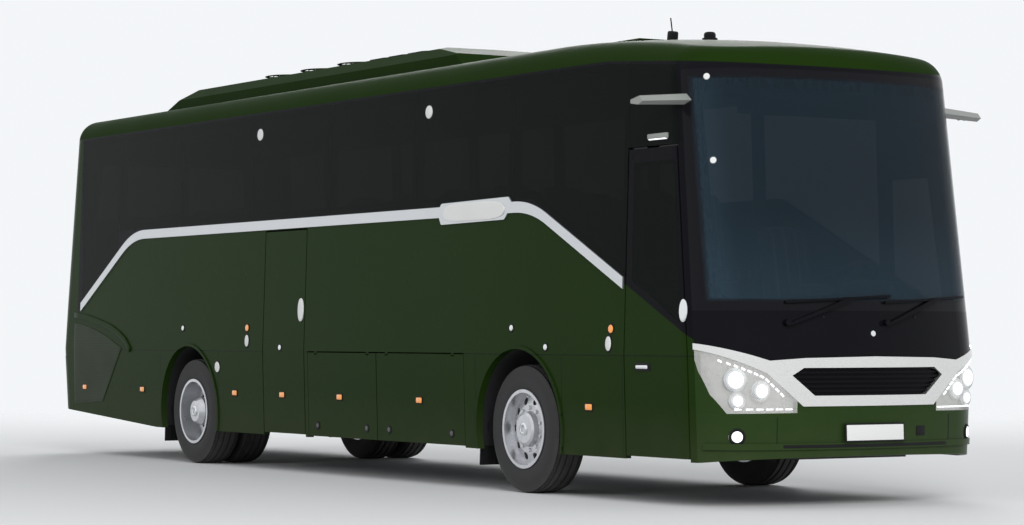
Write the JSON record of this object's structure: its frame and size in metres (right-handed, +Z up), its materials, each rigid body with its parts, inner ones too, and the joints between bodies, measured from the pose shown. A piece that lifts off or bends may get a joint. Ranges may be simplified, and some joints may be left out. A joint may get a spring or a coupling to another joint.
{
  "type": "coach bus",
  "caption": "Two-axle high-floor touring coach with swing-out doors, luggage flaps, steered front wheels and twin rear wheels.",
  "frame": {"origin": "on the ground under the middle of the coach", "axes": "+Y towards the rear, so the nose faces -Y; +X towards the driver's side; +Z up"},
  "size_m": [3.17, 12.3068, 3.7699],
  "materials": {
    "body_paint": "dark green gloss paint",
    "black_trim": "gloss black",
    "bright_trim": "satin bright metal",
    "glass": "dark tinted glass",
    "clear_lens": "clear lamp lens",
    "red_lens": "red lamp lens",
    "tyre": "black rubber",
    "alloy": "polished alloy",
    "chassis": "black chassis paint",
    "floor": "dark grey floor covering",
    "cabin_plastic": "dark grey moulding",
    "seat_fabric": "dark grey woven cover",
    "engine": "cast iron"
  },
  "bodies": {
    "coach_body": {"camera_arms": "black_trim", "dashboard": "cabin_plastic", "driver_pedestal": "cabin_plastic", "driver_seat": "seat_fabric", "engine_block": "engine", "front_axle": "chassis", "front_bumper": "body_paint", "front_entrance": "floor", "front_panel": "black_trim", "grille": "black_trim", "grille_surround": "bright_trim", "headlamps": "clear_lens", "luggage_hold": "floor", "middle_entrance": "floor", "outriggers": "chassis", "passenger_floor": "floor", "passenger_seats": "seat_fabric", "rear_axle": "chassis", "rear_wall": "body_paint", "rear_window": "glass", "roof": "body_paint", "roof_air_unit": "body_paint", "seat_bases": "cabin_plastic", "side_panels_left": "body_paint", "side_panels_right": "body_paint", "side_wall_left": "body_paint", "side_wall_right": "body_paint", "side_windows": "glass", "tail_lamps": "red_lens", "tow_clevis": "chassis", "underframe": "chassis", "waist_mouldings": "bright_trim", "wheel_housings": "chassis", "windscreen": "glass", "wipers": "black_trim"},
    "knuckle_left": {"knuckle_left": "chassis"},
    "knuckle_right": {"knuckle_right": "chassis"},
    "front_wheel_left": {"front_tyre_left": "tyre", "front_rim_left": "alloy"},
    "front_wheel_right": {"front_tyre_right": "tyre", "front_rim_right": "alloy"},
    "rear_wheels_left": {"rear_tyres_left": "tyre", "rear_rims_left": "alloy"},
    "rear_wheels_right": {"rear_tyres_right": "tyre", "rear_rims_right": "alloy"},
    "steering_wheel": {"steering_wheel": "cabin_plastic"},
    "front_door_arms": {"front_door_arms": "chassis"},
    "front_door": {"front_door": "body_paint", "front_door_glass": "glass"},
    "middle_door_arms": {"middle_door_arms": "chassis"},
    "middle_door": {"middle_door": "body_paint"},
    "engine_cover": {"engine_cover": "body_paint"},
    "roof_hatch_front": {"roof_hatch_front": "body_paint"},
    "roof_hatch_rear": {"roof_hatch_rear": "body_paint"},
    "luggage_flap_right_front": {"luggage_flap_right_front": "body_paint"},
    "luggage_flap_right_rear": {"luggage_flap_right_rear": "body_paint"},
    "luggage_flap_left_front": {"luggage_flap_left_front": "body_paint"},
    "luggage_flap_left_middle": {"luggage_flap_left_middle": "body_paint"},
    "luggage_flap_left_rear": {"luggage_flap_left_rear": "body_paint"}
  },
  "joints": [
    {"name": "steer_left", "type": "hinge", "parent": "coach_body", "child": "knuckle_left", "pos_m": [0.93, -3.2775, 0.505], "axis": [0, 0, 1], "range_deg": [-50, 50]},
    {"name": "front_wheel_left_spin", "type": "hinge", "parent": "knuckle_left", "child": "front_wheel_left", "pos_m": [1.07, -3.2775, 0.505], "axis": [1, 0, 0], "continuous": true},
    {"name": "rear_wheels_left_spin", "type": "hinge", "parent": "coach_body", "child": "rear_wheels_left", "pos_m": [1.07, 2.8025, 0.505], "axis": [1, 0, 0], "continuous": true},
    {"name": "steer_right", "type": "hinge", "parent": "coach_body", "child": "knuckle_right", "pos_m": [-0.93, -3.2775, 0.505], "axis": [0, 0, 1], "range_deg": [-50, 50]},
    {"name": "front_wheel_right_spin", "type": "hinge", "parent": "knuckle_right", "child": "front_wheel_right", "pos_m": [-1.07, -3.2775, 0.505], "axis": [1, 0, 0], "continuous": true},
    {"name": "rear_wheels_right_spin", "type": "hinge", "parent": "coach_body", "child": "rear_wheels_right", "pos_m": [-1.07, 2.8025, 0.505], "axis": [1, 0, 0], "continuous": true},
    {"name": "steering_wheel_turn", "type": "hinge", "parent": "coach_body", "child": "steering_wheel", "pos_m": [0.62, -5.0675, 1.69], "axis": [0, 0.4695, 0.8829], "range_deg": [-900, 900]},
    {"name": "front_door_swing", "type": "hinge", "parent": "coach_body", "child": "front_door_arms", "pos_m": [-1.12825, -5.3925, 1.4], "axis": [0, 0, 1], "range_deg": [0, 150]},
    {"name": "front_door_leaf", "type": "hinge", "parent": "front_door_arms", "child": "front_door", "pos_m": [-1.11325, -4.9625, 1.4], "axis": [0, 0, 1], "range_deg": [-150, 0]},
    {"name": "middle_door_swing", "type": "hinge", "parent": "coach_body", "child": "middle_door_arms", "pos_m": [-1.12825, 0.9825, 1.4], "axis": [0, 0, 1], "range_deg": [-150, 0]},
    {"name": "middle_door_leaf", "type": "hinge", "parent": "middle_door_arms", "child": "middle_door", "pos_m": [-1.11325, 0.5525, 1.4], "axis": [0, 0, 1], "range_deg": [0, 150]},
    {"name": "luggage_flap_right_front_lift", "type": "hinge", "parent": "coach_body", "child": "luggage_flap_right_front", "pos_m": [-1.26561, -1.715, 1.085], "axis": [0, 1, 0], "range_deg": [0, 95]},
    {"name": "luggage_flap_right_rear_lift", "type": "hinge", "parent": "coach_body", "child": "luggage_flap_right_rear", "pos_m": [-1.26561, -0.338, 1.085], "axis": [0, 1, 0], "range_deg": [0, 95]},
    {"name": "luggage_flap_left_front_lift", "type": "hinge", "parent": "coach_body", "child": "luggage_flap_left_front", "pos_m": [1.26561, -1.7075, 1.085], "axis": [0, -1, 0], "range_deg": [0, 95]},
    {"name": "luggage_flap_left_middle_lift", "type": "hinge", "parent": "coach_body", "child": "luggage_flap_left_middle", "pos_m": [1.26561, -0.2155, 1.085], "axis": [0, -1, 0], "range_deg": [0, 95]},
    {"name": "luggage_flap_left_rear_lift", "type": "hinge", "parent": "coach_body", "child": "luggage_flap_left_rear", "pos_m": [1.26561, 1.2695, 1.085], "axis": [0, -1, 0], "range_deg": [0, 95]},
    {"name": "engine_cover_lift", "type": "hinge", "parent": "coach_body", "child": "engine_cover", "pos_m": [0, 6.07956, 1.64], "axis": [1, 0, 0], "range_deg": [0, 85]},
    {"name": "roof_hatch_front_lift", "type": "hinge", "parent": "coach_body", "child": "roof_hatch_front", "pos_m": [0, -3.5095, 3.604], "axis": [1, 0, 0], "range_deg": [0, 60]},
    {"name": "roof_hatch_rear_lift", "type": "hinge", "parent": "coach_body", "child": "roof_hatch_rear", "pos_m": [0, 4.5905, 3.604], "axis": [1, 0, 0], "range_deg": [0, 60]}
  ],
  "couplings": [
    {"joint": "steer_right", "follows": "steer_left", "ratio": 1},
    {"joint": "steering_wheel_turn", "follows": "steer_left", "ratio": 18},
    {"joint": "front_door_leaf", "follows": "front_door_swing", "ratio": -1},
    {"joint": "middle_door_leaf", "follows": "middle_door_swing", "ratio": -1}
  ]
}
